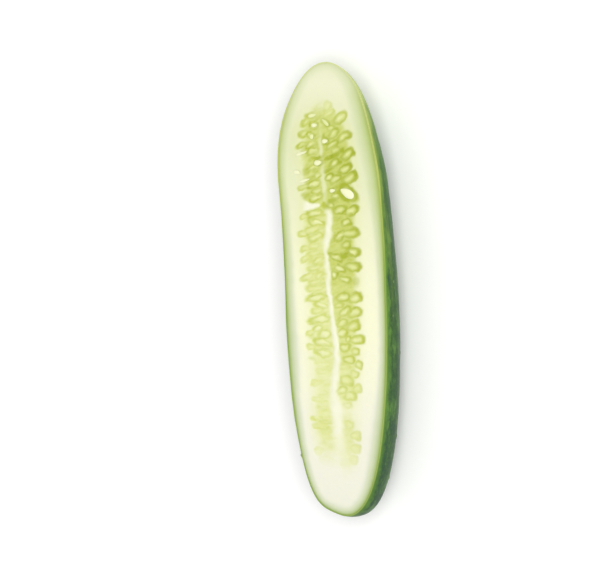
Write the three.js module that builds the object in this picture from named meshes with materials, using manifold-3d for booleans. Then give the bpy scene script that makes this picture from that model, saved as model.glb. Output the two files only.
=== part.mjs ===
// Half of a slicing cucumber, split lengthwise, lying on its rounded side with the cut face up.
// The fruit grew as one piece, so it is one solid. Units are millimetres and +Z is up.
// The long axis is Y: the stem end is at -Y and the blossom end is at +Y.

import * as THREE from "three";
import { mergeVertices } from "three/addons/utils/BufferGeometryUtils.js";
import Module from "manifold-3d";

// The whole fruit, before it is cut.
const LENGTH = 190.6;
const MAX_RADIUS = 24.4;
const STEM_TAPER = 87; // how far from the stem tip the fruit is still swelling
const BLOSSOM_TAPER = 54; // the same, from the blossom tip
const STEM_BLUNTNESS = 3; // root of the end curve: 2 is an ellipse, more is blunter
const BLOSSOM_BLUNTNESS = 2;

// The core line bows a little to -X near the blossom end.
const BOW_START = 0.4; // share of the length, from the stem tip
const BOW_WIDTH = 2.1;
const TIP_DRIFT = 0.9;

// Three seed chambers make the section faintly three-cornered, and the skin has faint ribs.
const LOBE_COUNT = 3;
const LOBE_SHARE = 0.008;
const RIB_COUNT = 10;
const RIB_SHARE = 0.005;
const LOBE_TURN = Math.PI / 2;

// The scar where the stalk came off is a shallow dish in the stem tip.
const SCAR_RADIUS = 3.4;
const SCAR_DEPTH = 0.7;

// The stem tip is a little oblique: it stands back on the -X side.
const SLANT_DEPTH = 1.35;
const SLANT_MIDDLE = -5;
const SLANT_WIDTH = 6;
const SLANT_REACH = 0.08; // share of the length

// The knife ran above the core at the stem end and came out below it at the blossom end, where
// the fruit curves up a little.
const CUT_ABOVE_CORE_AT_STEM = 6.3;
const CUT_BELOW_CORE_AT_BLOSSOM = 0.6; // without the curve
const CURVE_UP = 2.8;
const CURVE_START = 0.46; // shares of the length
const CURVE_END = 0.93;

// The height it lies at: the rounded side is pressed flat by about a millimetre where it rests.
const RESTING_HEIGHT = 26.8;

// Mesh fineness.
const RINGS = 52;
const SIDES = 60;

const SKIN_GREEN = 0x3f6b35;

// Share of the full radius at a distance from one tip: the root of a circle's arc.
function endSwell(distance, taper, bluntness) {
  const left = 1 - Math.min(distance / taper, 1);
  return Math.max(1 - left * left, 0) ** (1 / bluntness);
}

// Radius of the fruit at a share of its length from the stem tip.
function radiusAt(share) {
  const stemEnd = endSwell(share * LENGTH, STEM_TAPER, STEM_BLUNTNESS);
  const blossomEnd = endSwell((1 - share) * LENGTH, BLOSSOM_TAPER, BLOSSOM_BLUNTNESS);
  return MAX_RADIUS * stemEnd * blossomEnd;
}

// Sideways place of the core line.
function coreSide(share) {
  const along = Math.max((share - BOW_START) / (1 - BOW_START), 0);
  return -BOW_WIDTH * Math.sin(Math.PI * along ** 2) ** 2 - TIP_DRIFT * along ** 4;
}

// Height of the core line, measured from the cut face.
function coreHeight(share) {
  const straight = THREE.MathUtils.lerp(-CUT_ABOVE_CORE_AT_STEM, CUT_BELOW_CORE_AT_BLOSSOM, share);
  return straight + CURVE_UP * THREE.MathUtils.smoothstep(share, CURVE_START, CURVE_END);
}

// How far the tip is dished in at a radius from the core line.
function scarDepth(radius, share) {
  const near = Math.max(1 - (radius / SCAR_RADIUS) ** 2, 0);
  return share < 0.5 ? SCAR_DEPTH * near ** 2 : 0;
}

// How far the oblique stem tip stands back at a sideways place from the core line.
function slantBack(side, share) {
  const near = Math.max(1 - (share / SLANT_REACH) ** 2, 0);
  return SLANT_DEPTH * near ** 2 * Math.exp(-(((side - SLANT_MIDDLE) / SLANT_WIDTH) ** 2));
}

// The lathe profile from the stem tip to the blossom tip, with rings closer together at the ends.
function fruitProfile() {
  const points = [];
  for (let ring = 0; ring <= RINGS; ring += 1) {
    const share = 0.5 - 0.5 * Math.cos((Math.PI * ring) / RINGS);
    const isTip = ring === 0 || ring === RINGS;
    points.push(new THREE.Vector2(isTip ? 0 : radiusAt(share), (share - 0.5) * LENGTH));
  }
  return points;
}

// The lathed fruit, with its lobes, ribs, scar, oblique tip and bowed core line.
function wholeFruit() {
  const geometry = new THREE.LatheGeometry(fruitProfile(), SIDES);
  const position = geometry.getAttribute("position");
  for (let i = 0; i < position.count; i += 1) {
    const [x, y, z] = [position.getX(i), position.getY(i), position.getZ(i)];
    const share = y / LENGTH + 0.5;
    const angle = Math.atan2(z, x) - LOBE_TURN;
    const lobes = LOBE_SHARE * Math.cos(LOBE_COUNT * angle);
    const ribs = RIB_SHARE * Math.cos(RIB_COUNT * angle);
    const grow = 1 + lobes + ribs;
    const side = x * grow;
    const back = scarDepth(Math.hypot(x, z), share) + slantBack(side, share);
    position.setXYZ(i, side + coreSide(share), y + back, z * grow + coreHeight(share));
  }
  return geometry;
}

// A geometry as a manifold-3d solid.
function solidFrom(wasm, geometry) {
  const bare = new THREE.BufferGeometry();
  bare.setAttribute("position", geometry.getAttribute("position"));
  bare.setIndex(geometry.getIndex());
  const merged = mergeVertices(bare);
  const vertProperties = new Float32Array(merged.getAttribute("position").array);
  const triVerts = new Uint32Array(merged.getIndex().array);
  return new wasm.Manifold(new wasm.Mesh({ numProp: 3, vertProperties, triVerts }));
}

// A manifold-3d solid as a geometry.
function geometryFrom(solid) {
  const mesh = solid.getMesh();
  const geometry = new THREE.BufferGeometry();
  geometry.setAttribute("position", new THREE.BufferAttribute(mesh.vertProperties, 3));
  geometry.setIndex(new THREE.BufferAttribute(mesh.triVerts, 1));
  return geometry;
}

// The layer of the fruit between the surface it rests on and the knife's plane.
function halfFruit(wasm) {
  const layer = new THREE.BoxGeometry(4 * MAX_RADIUS, 2 * LENGTH, RESTING_HEIGHT);
  layer.translate(0, 0, -RESTING_HEIGHT / 2);
  return solidFrom(wasm, wholeFruit()).intersect(solidFrom(wasm, layer));
}

// Puts the origin at the middle of the bottom of the bounding box.
function standOnOrigin(geometry) {
  geometry.computeBoundingBox();
  const box = geometry.boundingBox;
  const middle = box.getCenter(new THREE.Vector3());
  geometry.translate(-middle.x, -middle.y, -box.min.z);
  geometry.computeVertexNormals();
  return geometry;
}

const wasm = await Module();
wasm.setup();

const skin = new THREE.MeshStandardMaterial({ color: SKIN_GREEN, roughness: 0.4, metalness: 0 });
const half = new THREE.Mesh(standOnOrigin(geometryFrom(halfFruit(wasm))), skin);
half.name = "cucumber_half";

const cucumber = new THREE.Group();
cucumber.add(half);

export default cucumber;
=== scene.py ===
"""Half of a slicing cucumber, lying on its rounded green side with the seeded cut face up."""

import bmesh
import bpy
import numpy as np
from mathutils import Matrix, Vector


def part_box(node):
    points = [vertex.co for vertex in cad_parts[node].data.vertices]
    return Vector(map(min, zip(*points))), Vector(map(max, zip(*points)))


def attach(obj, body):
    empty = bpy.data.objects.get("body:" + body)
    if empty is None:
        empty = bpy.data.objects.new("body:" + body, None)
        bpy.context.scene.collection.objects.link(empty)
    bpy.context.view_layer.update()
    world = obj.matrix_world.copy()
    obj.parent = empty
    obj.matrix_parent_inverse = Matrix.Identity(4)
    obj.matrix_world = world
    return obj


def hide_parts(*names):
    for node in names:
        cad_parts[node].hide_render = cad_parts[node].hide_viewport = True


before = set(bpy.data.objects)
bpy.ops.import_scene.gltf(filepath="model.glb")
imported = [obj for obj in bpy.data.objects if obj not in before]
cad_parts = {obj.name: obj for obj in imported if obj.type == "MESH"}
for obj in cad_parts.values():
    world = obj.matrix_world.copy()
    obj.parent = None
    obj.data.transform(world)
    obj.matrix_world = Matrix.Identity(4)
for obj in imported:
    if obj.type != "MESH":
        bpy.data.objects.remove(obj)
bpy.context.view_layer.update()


# ---- Camera ----------------------------------------------------------------------------
# A long lens on a stand over the table. It looks steeply down at the cut face from the
# +X side, so that the green side shows, with the blossom end at the top of the picture.

MM = 0.001
LENS_LENGTH = 500
SENSOR_WIDTH = 36
SPAN_AT_CUCUMBER = 253.7 * MM  # what the picture's width takes in
LEAN_TO_SIDE = np.radians(31)  # off the vertical, towards +X
LEAN_TO_BLOSSOM = np.radians(8)
CAMERA_ROLL = np.radians(1.73)
AIM_RIGHT = -10.5 * MM  # of the middle of the cut face, as the picture shows it
AIM_UP = 3.2 * MM

box_low, box_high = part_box("cucumber_half")
face_middle = Vector(((box_low.x + box_high.x) / 2, (box_low.y + box_high.y) / 2, box_high.z))

back = Vector((
    np.sin(LEAN_TO_SIDE) * np.cos(LEAN_TO_BLOSSOM),
    np.sin(LEAN_TO_BLOSSOM),
    np.cos(LEAN_TO_SIDE) * np.cos(LEAN_TO_BLOSSOM),
))
level_up = (Vector((0, 1, 0)) - back * back.y).normalized()
level_right = level_up.cross(back)
picture_right = level_right * np.cos(CAMERA_ROLL) - level_up * np.sin(CAMERA_ROLL)
picture_up = level_right * np.sin(CAMERA_ROLL) + level_up * np.cos(CAMERA_ROLL)

camera_data = bpy.data.cameras.new("long_lens")
camera_data.lens = LENS_LENGTH
camera_data.sensor_width = SENSOR_WIDTH
camera_data.clip_start = 0.05
camera_data.clip_end = 50
camera = bpy.data.objects.new("camera", camera_data)
bpy.context.scene.collection.objects.link(camera)
bpy.context.scene.camera = camera

aim = face_middle + picture_right * AIM_RIGHT + picture_up * AIM_UP
turned = Matrix((picture_right, picture_up, back)).transposed().to_4x4()
distance = SPAN_AT_CUCUMBER * LENS_LENGTH / SENSOR_WIDTH
camera.matrix_world = Matrix.Translation(aim + back * distance) @ turned


# ---- Table and light ---------------------------------------------------------------------
# A matt white floor that sweeps up into a wall, in a white tent with one big soft lamp high
# up behind the camera, so that shadows are faint and the face is lit evenly.

FLOOR_RADIUS = 6.0  # of the flat part, in metres
SWEEP_RADIUS = 2.0  # of the curve up from it
SWEEP_TOP = 3.5
FLOOR_SIDES = 96
SWEEP_STEPS = 17


def linear(colour):
    """A hex sRGB colour as the linear red, green, blue and alpha that a shader takes."""
    parts = [int(colour[start:start + 2], 16) / 255 for start in (1, 3, 5)]
    return [p / 12.92 if p <= 0.04045 else ((p + 0.055) / 1.055) ** 2.4 for p in parts] + [1]


def add_node(tree, kind, inputs=None, stops=None, out=0, **settings):
    """Adds a shader node, sets its properties and its colour stops, fills each input with a value
    or with another node's output, and returns the output with the number or name in out."""
    node = tree.nodes.new("ShaderNode" + kind)
    for name, value in settings.items():
        setattr(node, name, value)
    for socket, value in (inputs or {}).items():
        if isinstance(value, bpy.types.NodeSocket):
            tree.links.new(value, node.inputs[socket])
        else:
            node.inputs[socket].default_value = value
    for number, (place, colour) in enumerate(stops or []):
        elements = node.color_ramp.elements
        stop = elements[number] if number < 2 else elements.new(place)
        stop.position = place
        stop.color = linear(colour)
    return node.outputs[out] if node.outputs else None


# The sockets of a colour Mix node that have no name of their own.
MIX_UNDER, MIX_OVER, MIX_RESULT = 6, 7, 2


def new_material(name):
    """An empty material and its node tree."""
    material = bpy.data.materials.new(name)
    material.use_nodes = True
    material.node_tree.nodes.clear()
    return material, material.node_tree


# Matt white laminate: nearly white, with a faint fine mottling and hardly any gloss.
laminate, tree = new_material("matt_white_laminate")
place = add_node(tree, "TexCoord", out="Object")
mottle = add_node(tree, "TexNoise", {"Vector": place, "Scale": 1 / (60 * MM), "Detail": 4})
tint = add_node(
    tree, "Mix",
    {"Factor": mottle, MIX_UNDER: linear("#f8f8f6"), MIX_OVER: linear("#fcfcfb")},
    data_type="RGBA", out=MIX_RESULT,
)
surface = add_node(
    tree, "BsdfPrincipled", {"Base Color": tint, "Roughness": 0.7, "Specular IOR Level": 0.2},
)
add_node(tree, "OutputMaterial", {"Surface": surface})

# The floor is a flat disc, a quarter circle up and a straight wall, turned about the middle.
turn = np.linspace(0, 2 * np.pi, FLOOR_SIDES, endpoint=False)
rise_angle = np.linspace(0, np.pi / 2, SWEEP_STEPS)
floor_reach = FLOOR_RADIUS + SWEEP_RADIUS * np.append(np.sin(rise_angle), 1)
floor_height = np.append(SWEEP_RADIUS * (1 - np.cos(rise_angle)), SWEEP_TOP)
sweep = np.stack([
    floor_reach[:, None] * np.cos(turn),
    floor_reach[:, None] * np.sin(turn),
    floor_height[:, None] + 0 * turn,
], axis=-1)
ring, side = np.arange(len(floor_reach) - 1)[:, None] * FLOOR_SIDES, np.arange(FLOOR_SIDES)
after = (side + 1) % FLOOR_SIDES
sweep_quads = np.stack(
    [ring + side, ring + FLOOR_SIDES + side, ring + FLOOR_SIDES + after, ring + after], axis=-1,
).reshape(-1, 4)
backdrop_mesh = bpy.data.meshes.new("floor_sweep")
backdrop_mesh.from_pydata(
    sweep.reshape(-1, 3).tolist(), [], [list(range(FLOOR_SIDES)), *sweep_quads.tolist()],
)
backdrop_mesh.polygons.foreach_set("use_smooth", np.ones(len(backdrop_mesh.polygons), bool))
backdrop_mesh.materials.append(laminate)
backdrop = bpy.data.objects.new("floor_sweep", backdrop_mesh)
bpy.context.scene.collection.objects.link(backdrop)

TENT_WHITE = "#ffffff"
TENT_STRENGTH = 0.69
tent = bpy.data.worlds.new("white_tent")
tent.use_nodes = True
tent_background = tent.node_tree.nodes["Background"]
tent_background.inputs["Color"].default_value = linear(TENT_WHITE)
tent_background.inputs["Strength"].default_value = TENT_STRENGTH
bpy.context.scene.world = tent

SOFTBOX_PLACE = back * 4.2  # behind the camera, so its shadow falls out of sight
SOFTBOX_SIDE = 2.4
SOFTBOX_WATTS = 124
softbox_light = bpy.data.lights.new("softbox", "AREA")
softbox_light.size = SOFTBOX_SIDE
softbox_light.energy = SOFTBOX_WATTS
softbox = bpy.data.objects.new("softbox", softbox_light)
bpy.context.scene.collection.objects.link(softbox)
softbox.location = SOFTBOX_PLACE
softbox.rotation_mode = "QUATERNION"
softbox.rotation_quaternion = (-SOFTBOX_PLACE).to_track_quat("-Z", "Y")

bpy.context.scene.view_settings.view_transform = "Standard"


# ---- Peel --------------------------------------------------------------------------------
# The waxy green skin, 0.6 mm thick, wrapped round the underside of the half and cut off
# flush at the top. It has three soft lobes, faint ribs, low warts and a dished tan scar where
# the stalk came off.

LENGTH = 190.6 * MM
MAX_RADIUS = 24.4 * MM
STEM_TAPER = 87 * MM  # how far from the stem tip the fruit is still swelling
BLOSSOM_TAPER = 54 * MM
STEM_BLUNTNESS = 3  # root of the end curve: 2 is an ellipse, more is blunter
BLOSSOM_BLUNTNESS = 2
BOW_START = 0.4  # share of the length where the core line starts to bow to -X
BOW_WIDTH = 2.1 * MM
TIP_DRIFT = 0.9 * MM
LOBE_COUNT, LOBE_SHARE = 3, 0.008
RIB_COUNT, RIB_SHARE = 10, 0.005
SCAR_RADIUS = 3.4 * MM
SCAR_DEPTH = 0.7 * MM
SLANT_DEPTH = 1.35 * MM  # how far the oblique stem tip stands back on the -X side
SLANT_MIDDLE = -5 * MM
SLANT_WIDTH = 6 * MM
SLANT_REACH = 0.08  # share of the length
CUT_ABOVE_CORE_AT_STEM = 6.3 * MM
CUT_BELOW_CORE_AT_BLOSSOM = 0.6 * MM  # without the curve up towards that end
CURVE_UP = 2.8 * MM
CURVE_START, CURVE_END = 0.46, 0.93  # shares of the length
PEEL_THICKNESS = 0.6 * MM
TIP_SHARE = 0.05  # of the length, at each end: the cut starts and stops within it
RESTING_SOFTNESS = 0.12 * MM  # how gently the rounded side turns into the flat it rests on
BOTTOM = -np.pi / 2
TOP = np.pi / 2


def end_swell(distance, taper, bluntness):
    """Share of the full radius at a distance from one tip: the root of a circle's arc."""
    left = 1 - np.clip(distance / taper, 0, 1)
    return np.maximum(1 - left**2, 0) ** (1 / bluntness)


def radius_at(share):
    """Radius of the fruit at a share of its length from the stem tip: one swell per end."""
    stem_end = end_swell(share * LENGTH, STEM_TAPER, STEM_BLUNTNESS)
    blossom_end = end_swell((1 - share) * LENGTH, BLOSSOM_TAPER, BLOSSOM_BLUNTNESS)
    return MAX_RADIUS * stem_end * blossom_end


def roundness(angle):
    """Three lobes and ten ribs round the section, as a share of the radius: two cosines."""
    lobes = LOBE_SHARE * np.cos(LOBE_COUNT * (angle - TOP))
    ribs = RIB_SHARE * np.cos(RIB_COUNT * (angle - TOP))
    return 1 + lobes + ribs


def core_side(share):
    """Sideways place of the core line: a squared sine of the squared share, and a drift."""
    along = np.maximum((share - BOW_START) / (1 - BOW_START), 0)
    return -BOW_WIDTH * np.sin(np.pi * along**2) ** 2 - TIP_DRIFT * along**4


def smooth_step(value, start, stop):
    """0 before start, 1 after stop, and a smooth cubic between them."""
    share = np.clip((value - start) / (stop - start), 0, 1)
    return share * share * (3 - 2 * share)


def core_height(share):
    """Height of the core line above the cut: a straight line from below it to above it, and a
    smooth step up towards the blossom end."""
    slope = CUT_ABOVE_CORE_AT_STEM + CUT_BELOW_CORE_AT_BLOSSOM
    straight = -CUT_ABOVE_CORE_AT_STEM + slope * share
    return straight + CURVE_UP * smooth_step(share, CURVE_START, CURVE_END)


def fruit_points(share, angle, inset):
    """Points of the fruit's outside drawn in by inset: the lobed radius turned by the angle round
    the core line, with the stem tip dished by the square of a parabola and set back on the -X
    side by a bell curve."""
    bare = radius_at(share) * (1 - inset / MAX_RADIUS)
    radius = bare * roundness(angle)
    near_scar = np.maximum(1 - (bare / SCAR_RADIUS) ** 2, 0)
    dish = np.where(share < 0.5, SCAR_DEPTH * near_scar**2, 0)
    side = radius * np.cos(angle)
    near_tip = np.maximum(1 - (share / SLANT_REACH) ** 2, 0)
    slant = SLANT_DEPTH * near_tip**2 * np.exp(-(((side - SLANT_MIDDLE) / SLANT_WIDTH) ** 2))
    across = core_side(share) + side
    along = (share - 0.5) * (LENGTH - 2 * inset) + dish + slant
    up = core_height(share) + radius * np.sin(angle)
    return np.stack([across, along + 0 * angle, up], axis=-1)


def cut_angle(share, inset):
    """Angle above the horizontal at which the section meets the cut: the arcsine of the core's
    depth over the radius, repeated until the lobes agree. It is the top of a section that lies
    all below the cut."""
    angle = 0 * share
    for _ in range(8):
        radius = np.maximum(radius_at(share) * roundness(angle) * (1 - inset / MAX_RADIUS), 1e-9)
        angle = np.arcsin(np.clip(-core_height(share) / radius, -1, 1))
    return angle


def row_shares(inset, cap_rows, cut_rows):
    """Shares of the length where a surface's rows lie: cap_rows over the stem tip, equal in radius,
    then cut_rows to the blossom end, equally spaced along the outline of the cut."""
    tip = np.linspace(0, 1, 4000) ** 3 * TIP_SHARE
    scale = 1 - inset / MAX_RADIUS
    over_cut = radius_at(tip) * roundness(TOP) * scale + core_height(tip)
    first = np.interp(0, over_cut, tip)
    under_cut = radius_at(1 - tip) * roundness(BOTTOM) * scale - core_height(1 - tip)
    last = 1 - np.interp(0, under_cut, tip)
    cap_radius = np.linspace(0, radius_at(first), cap_rows, endpoint=False)
    cap = np.interp(cap_radius, radius_at(tip), tip)
    dense = first + (last - first) * (0.5 - 0.5 * np.cos(np.linspace(0, np.pi, 6000)))
    rim_points = fruit_points(dense, cut_angle(dense, inset), inset)
    steps = np.linalg.norm(np.diff(rim_points, axis=0), axis=1)
    outline = np.concatenate([[0], np.cumsum(steps)])
    cut = np.interp(np.linspace(0, outline[-1], cut_rows), outline, dense)
    return np.concatenate([cap, cut])


def underside(shares, inset, columns):
    """The rounded side below the cut, as a grid: each row runs along the section's arc from the
    left edge of the cut, under the fruit, to the right edge. The edges meet where the cut starts,
    and the last row is one point."""
    edge = cut_angle(shares, inset)
    left, right = np.pi - edge, 2 * np.pi + edge
    step = np.linspace(0, 1, columns)
    angle = left[:, None] + (right - left)[:, None] * step
    points = fruit_points(shares[:, None] + 0 * angle, angle, inset)
    cut_rows = (edge < TOP) & (edge > BOTTOM)
    points[cut_rows, 0, 2] = 0
    points[cut_rows, -1, 2] = 0
    first_cut = np.argmax(edge < TOP)
    points[first_cut, -1] = points[first_cut, 0]
    points[-1] = points[-1].mean(axis=0)
    return points, angle


LATTICE_SIDE = 64


def lattice_noise(across, along, cell, seed):
    """Smooth noise from -1 to 1: random numbers on a square lattice of that cell, blended between
    lattice points by a smoothstep."""
    values = np.random.default_rng(seed).uniform(-1, 1, (LATTICE_SIDE, LATTICE_SIDE))
    u, v = across / cell, along / cell
    u0, v0 = np.floor(u).astype(int), np.floor(v).astype(int)
    fu, fv = smooth_step(u - u0, 0, 1), smooth_step(v - v0, 0, 1)
    u0, v0, u1, v1 = (number % LATTICE_SIDE for number in (u0, v0, u0 + 1, v0 + 1))
    near = values[u0, v0] * (1 - fu) + values[u1, v0] * fu
    far = values[u0, v1] * (1 - fu) + values[u1, v1] * fu
    return near * (1 - fv) + far * fv


def rest_flat(points, resting_height):
    """Presses the lowest points flat on the table: a soft maximum of the height and the table's."""
    above = (points[..., 2] + resting_height) / RESTING_SOFTNESS
    points[..., 2] = -resting_height + RESTING_SOFTNESS * np.logaddexp(0, above)
    return points


def grid_quads(rows, columns, first=0):
    """Corner numbers of the quads between neighbouring points of a grid."""
    corner = first + np.arange(rows - 1)[:, None] * columns + np.arange(columns - 1)
    quads = [corner, corner + 1, corner + columns + 1, corner + columns]
    return np.stack(quads, axis=-1).reshape(-1, 4)


MERGE_GAP = 1e-7
SHARP_ANGLE = np.radians(50)  # only the cut edge is sharper than this


def add_piece(name, points, quads, material, values):
    """Makes a closed piece of the cucumber: puts its points in the row frame, stores a number or
    a vector per point for each named value, merges seams and poles, and ties it to the body."""
    mesh = bpy.data.meshes.new(name)
    mesh.from_pydata((points.reshape(-1, 3) + own_to_row).tolist(), [], quads.tolist())
    for label, value in values.items():
        kind, field = ("FLOAT_VECTOR", "vector") if value.shape[-1] == 3 else ("FLOAT", "value")
        layer = mesh.attributes.new(label, kind, "POINT")
        layer.data.foreach_set(field, value.astype(np.float32).ravel())
    mesh.materials.append(material)
    mesh.polygons.foreach_set("use_smooth", np.ones(len(mesh.polygons), bool))
    merged = bmesh.new()
    merged.from_mesh(mesh)
    bmesh.ops.remove_doubles(merged, verts=merged.verts, dist=MERGE_GAP)
    merged.to_mesh(mesh)
    merged.free()
    mesh.set_sharp_from_angle(angle=SHARP_ANGLE)
    piece = bpy.data.objects.new(name, mesh)
    bpy.context.scene.collection.objects.link(piece)
    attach(piece, "root")
    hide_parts("cucumber_half")
    return piece


# The fruit's own frame has the straight core axis at x = 0, the middle of its length at y = 0
# and the cut at z = 0. The row frame has the box's middle there, and the table at z = 0. A
# smooth underside, without warts, gives the step from one to the other.
resting_height = box_high.z - box_low.z
plain, _ = underside(row_shares(0, 12, 600), 0, 361)
plain_low, plain_high = plain.min(axis=(0, 1)), plain.max(axis=(0, 1))
own_to_row = np.array([
    face_middle.x - (plain_low[0] + plain_high[0]) / 2,
    face_middle.y - (plain_low[1] + plain_high[1]) / 2,
    box_high.z,
])

# Warts: random ones all over, and two that stand out. Each is share of length, angle in
# degrees, radius and height in millimetres.
WART_COUNT = 30
STANDING_WARTS = (
    (0.133, 167, 0.9, 0.9),
    (0.448, -3, 0.9, 0.45),
)
rng = np.random.default_rng(11)
warts = np.concatenate([
    np.stack([
        rng.uniform(0.06, 0.9, WART_COUNT),
        rng.uniform(188, 352, WART_COUNT),
        rng.uniform(0.8, 1.5, WART_COUNT),
        rng.uniform(0.15, 0.4, WART_COUNT),
    ], axis=1),
    np.array(STANDING_WARTS),
])
wart_places = fruit_points(warts[:, 0], np.radians(warts[:, 1]), 0)
UNEVEN_WIDE, UNEVEN_FINE = 0.16, 0.05  # millimetres


def skin_relief(points, angle, shares):
    """The outside with its warts and its gentle unevenness: each point moves away from the core
    line by a sum of bell curves about the warts and two sizes of smooth noise. Where a row goes
    all the way round, its two ends move alike."""
    gap = np.linalg.norm(points[:, :, None, :] - wart_places, axis=-1)
    bells = np.exp(-((gap / (warts[:, 2] * MM)) ** 2))
    wart = (bells * warts[:, 3]).sum(axis=-1)
    girth = MAX_RADIUS * angle
    along = points[..., 1]
    uneven = UNEVEN_WIDE * lattice_noise(girth, along, 17 * MM, 3)
    uneven += UNEVEN_FINE * lattice_noise(girth, along, 4.5 * MM, 4)
    ends = np.clip(radius_at(shares) / MAX_RADIUS, 0, 1)[:, None]
    rise = (wart + uneven * ends) * MM
    whole_rows = cut_angle(shares, 0) >= TOP
    rise[whole_rows, -1] = rise[whole_rows, 0]
    points[..., 0] += rise * np.cos(angle)
    points[..., 2] += rise * np.sin(angle)
    points[..., 2] = np.minimum(points[..., 2], 0)
    points[:, (0, -1), 2] = np.where(
        (cut_angle(shares, 0) < TOP)[:, None], 0, points[:, (0, -1), 2]
    )
    return points, bells.max(axis=-1)


PEEL_CAP_ROWS, PEEL_CUT_ROWS, PEEL_COLUMNS = 12, 400, 116

outer_shares = row_shares(0, PEEL_CAP_ROWS, PEEL_CUT_ROWS)
outer, outer_angle = underside(outer_shares, 0, PEEL_COLUMNS)
outer, wart_tip = skin_relief(outer, outer_angle, outer_shares)
outer = rest_flat(outer, resting_height)
inner_shares = row_shares(PEEL_THICKNESS, PEEL_CAP_ROWS, PEEL_CUT_ROWS)
inner, inner_angle = underside(inner_shares, PEEL_THICKNESS, PEEL_COLUMNS)
inner = rest_flat(inner, resting_height - PEEL_THICKNESS)

peel_rows = PEEL_CAP_ROWS + PEEL_CUT_ROWS
outer_quads = grid_quads(peel_rows, PEEL_COLUMNS)[:, ::-1]
inner_quads = grid_quads(peel_rows, PEEL_COLUMNS, outer[..., 0].size)
edge_rows = np.arange(PEEL_CAP_ROWS, peel_rows - 1)
edge_quads = []
for column, order in ((0, -1), (PEEL_COLUMNS - 1, 1)):
    out_low = edge_rows * PEEL_COLUMNS + column
    in_low = out_low + outer[..., 0].size
    ring = np.stack([out_low, out_low + PEEL_COLUMNS, in_low + PEEL_COLUMNS, in_low], axis=-1)
    edge_quads.append(ring[:, ::order])
peel_quads = np.concatenate([outer_quads, inner_quads, *edge_quads])
peel_points = np.stack([outer, inner])

# The place on a straight rod of the same girth, with its length squeezed, so that noise there
# makes streaks that run from tip to tip and close round the fruit.
STREAK_SQUEEZE = 14
peel_angle = np.stack([outer_angle, inner_angle])
streak_place = np.stack([
    MAX_RADIUS * np.cos(peel_angle),
    MAX_RADIUS * np.sin(peel_angle),
    peel_points[..., 1] / STREAK_SQUEEZE,
], axis=-1)
peel_shares = np.stack([outer_shares, inner_shares])[..., None] + 0 * peel_angle
from_core = radius_at(peel_shares)
stalk_scar = np.where(peel_shares < 0.5, np.clip(1.15 - from_core / SCAR_RADIUS, 0, 1), 0)
warty = np.stack([wart_tip, 0 * wart_tip])
cut_edge = np.zeros(peel_angle.shape)
cut_edge[:, PEEL_CAP_ROWS:, (0, -1)] = 1

# Cucumber skin: a living cuticle with a thin natural wax. Dark green, with blotches drawn out
# along the fruit, long paler streaks from the blossom end, fine pale dots and a soft highlight.
skin, tree = new_material("waxy_cucumber_skin")
place = add_node(tree, "TexCoord", out="Object")
place_along = add_node(tree, "SeparateXYZ", {"Vector": place}, out="Y")
streak_at = add_node(tree, "Attribute", attribute_name="streak_place", out="Vector")
towards_blossom = add_node(
    tree, "MapRange", {"Value": place_along, "From Min": box_low.y, "From Max": box_high.y},
)
green = add_node(
    tree, "ValToRGB", {"Fac": towards_blossom},
    stops=[
        (0.0, "#1c4124"), (1.0, "#b7c278"), (0.5, "#224c17"), (0.72, "#275415"),
        (0.8, "#316119"), (0.88, "#5b7e31"), (0.94, "#a2b25f"),
    ],
)
broad = add_node(
    tree, "TexNoise", {"Vector": streak_at, "Scale": 1 / (7 * MM), "Detail": 3, "Roughness": 0.6},
)
fine = add_node(tree, "TexNoise", {"Vector": place, "Scale": 1 / (1.2 * MM), "Detail": 3})
stretched = add_node(tree, "Mapping", {"Vector": place, "Scale": (1, 0.5, 1)})
patchy = add_node(
    tree, "TexNoise", {"Vector": stretched, "Scale": 1 / (5 * MM), "Detail": 5, "Roughness": 0.7},
)
streak_reach = add_node(
    tree, "MapRange",
    {"Value": towards_blossom, "From Min": 0.35, "From Max": 1.0, "To Min": 0.04, "To Max": 0.6},
    interpolation_type="SMOOTHSTEP",
)
streak_crest = add_node(
    tree, "MapRange", {"Value": broad, "From Min": 0.5, "From Max": 0.72},
    interpolation_type="SMOOTHSTEP",
)
streak = add_node(tree, "Math", {0: streak_crest, 1: streak_reach}, operation="MULTIPLY")
speckle = add_node(
    tree, "MapRange", {"Value": fine, "From Min": 0.42, "From Max": 0.7, "To Max": 0.35},
)
patch_strength = add_node(
    tree, "MapRange",
    {"Value": towards_blossom, "From Min": 0.62, "From Max": 0.86, "To Min": 0.66, "To Max": 0.12},
    interpolation_type="SMOOTHSTEP",
)
light_patch = add_node(
    tree, "MapRange",
    {"Value": patchy, "From Min": 0.48, "From Max": 0.68, "To Max": patch_strength},
    interpolation_type="SMOOTHSTEP",
)
dark_patch = add_node(
    tree, "MapRange",
    {"Value": patchy, "From Min": 0.5, "From Max": 0.34, "To Max": patch_strength},
    interpolation_type="SMOOTHSTEP",
)
pits = add_node(tree, "TexVoronoi", {"Vector": place, "Scale": 1 / (2.6 * MM)}, feature="F1")
dot = add_node(
    tree, "MapRange",
    {"Value": pits, "From Min": 0.07, "From Max": 0.16, "To Min": 0.3, "To Max": 0},
)

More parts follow.
